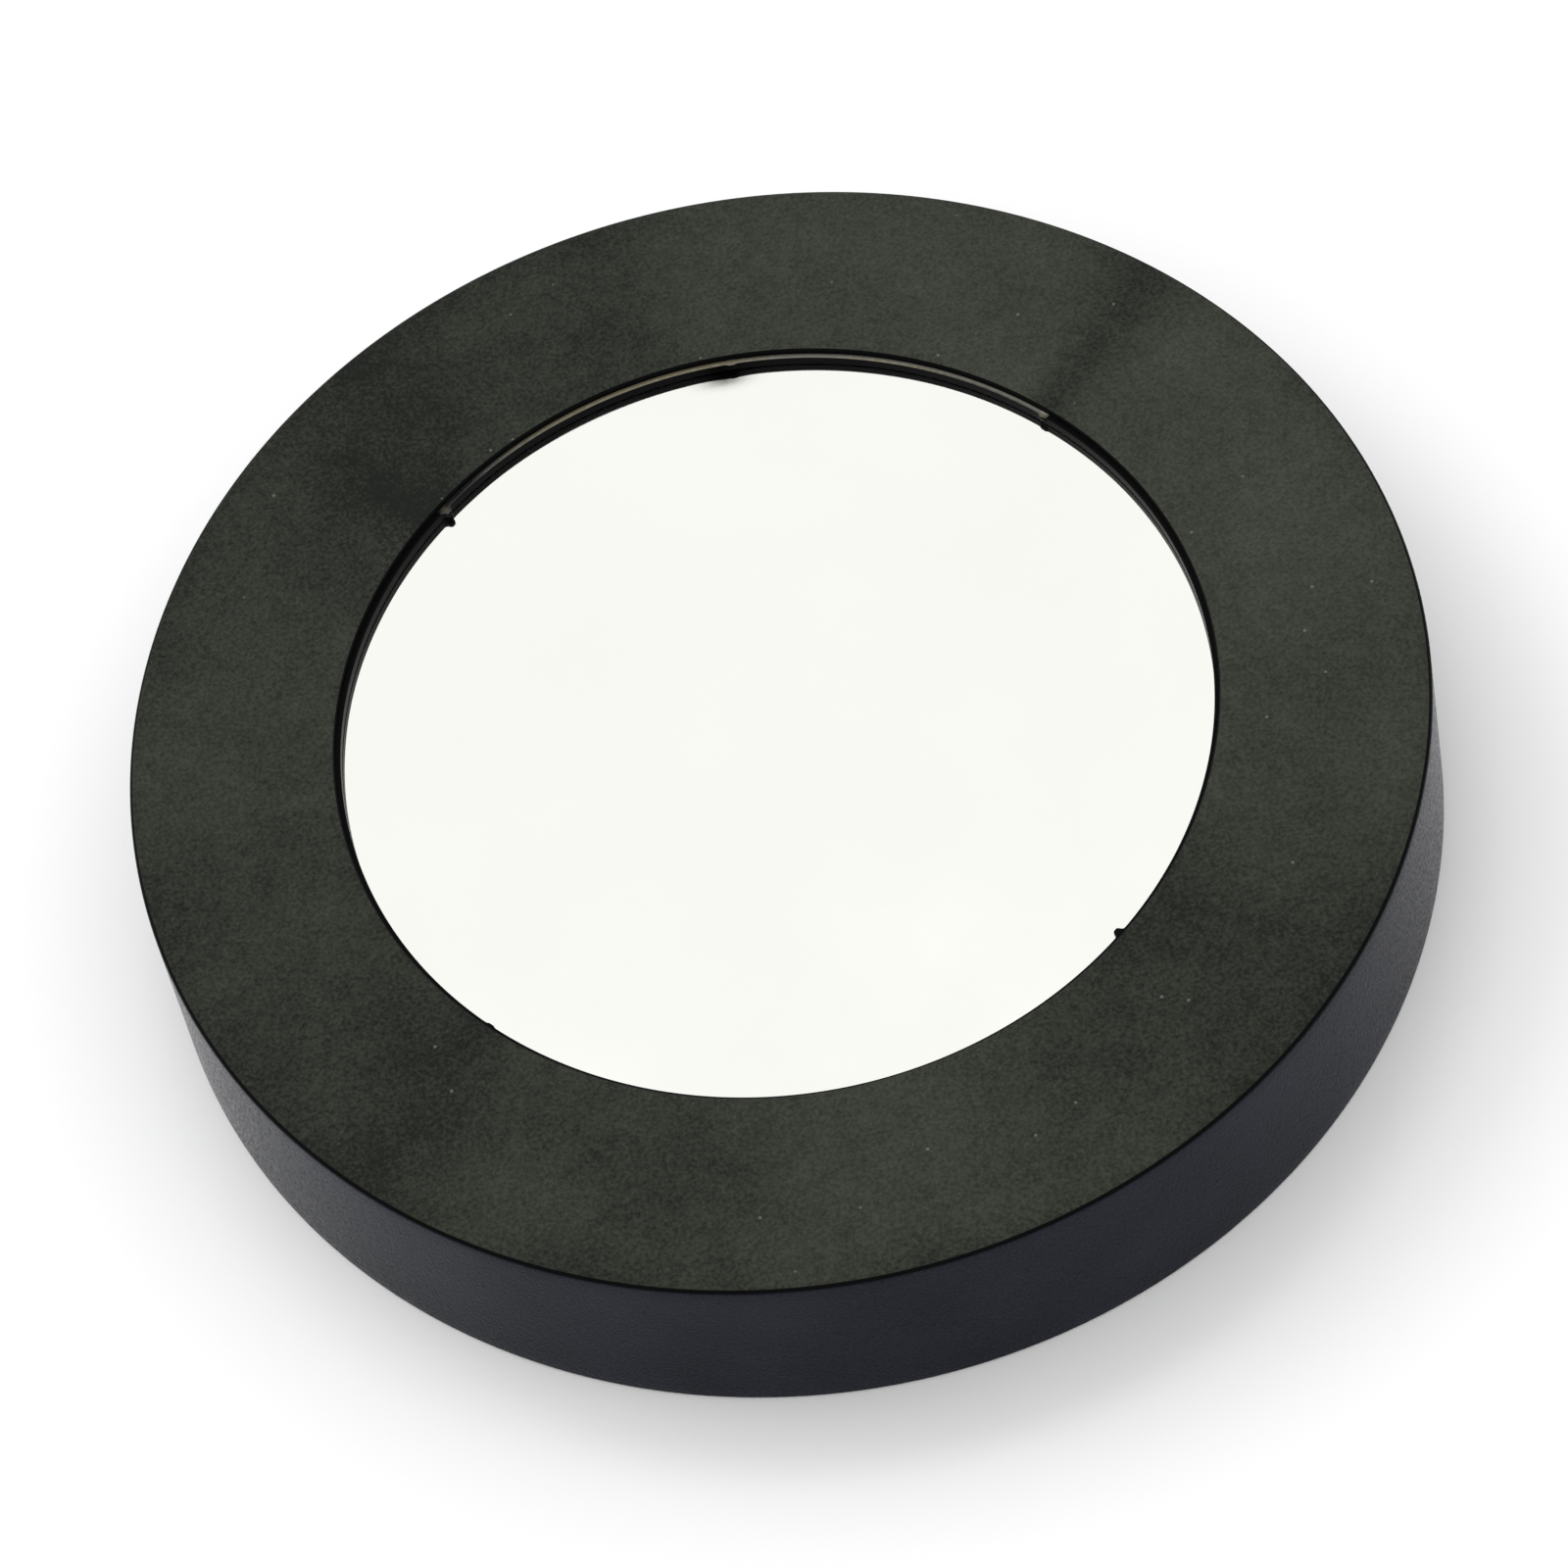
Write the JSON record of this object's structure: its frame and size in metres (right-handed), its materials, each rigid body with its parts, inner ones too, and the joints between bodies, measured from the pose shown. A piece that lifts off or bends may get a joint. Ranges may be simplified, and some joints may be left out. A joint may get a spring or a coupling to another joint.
{
  "type": "telescope solar filter cap",
  "caption": "Round black push-on cap with a wide flat front flange and a recessed disc of mirror-like solar film, for the front of a small refracting telescope.",
  "frame": {"origin": "centre of the bounding box at the rim, on the plane the cap stands on", "axes": "+Z along the optical axis, from the rim out through the front face; +X through the first clamp screw"},
  "size_m": [0.0948, 0.0948, 0.0152],
  "materials": {
    "cap_plastic": "moulded black ABS, fine spark-eroded grain on the front face and a smoother satin skirt",
    "backing_plastic": "moulded black ABS, satin",
    "film": "thin polymer film metallised on both sides, mirror-like and slightly wavy",
    "tape": "thin double-sided adhesive tape",
    "felt": "black needled felt with an adhesive back",
    "screw": "black zinc plated steel"
  },
  "bodies": {
    "root": {"cap_shell": "cap_plastic", "solar_film": "film", "front_tape": "tape", "rear_tape": "tape", "backing_ring": "backing_plastic", "grip_felt": "felt", "clamp_screw_1": "screw", "clamp_screw_2": "screw", "clamp_screw_3": "screw", "clamp_screw_4": "screw", "clamp_screw_5": "screw", "clamp_screw_6": "screw"}
  },
  "joints": []
}
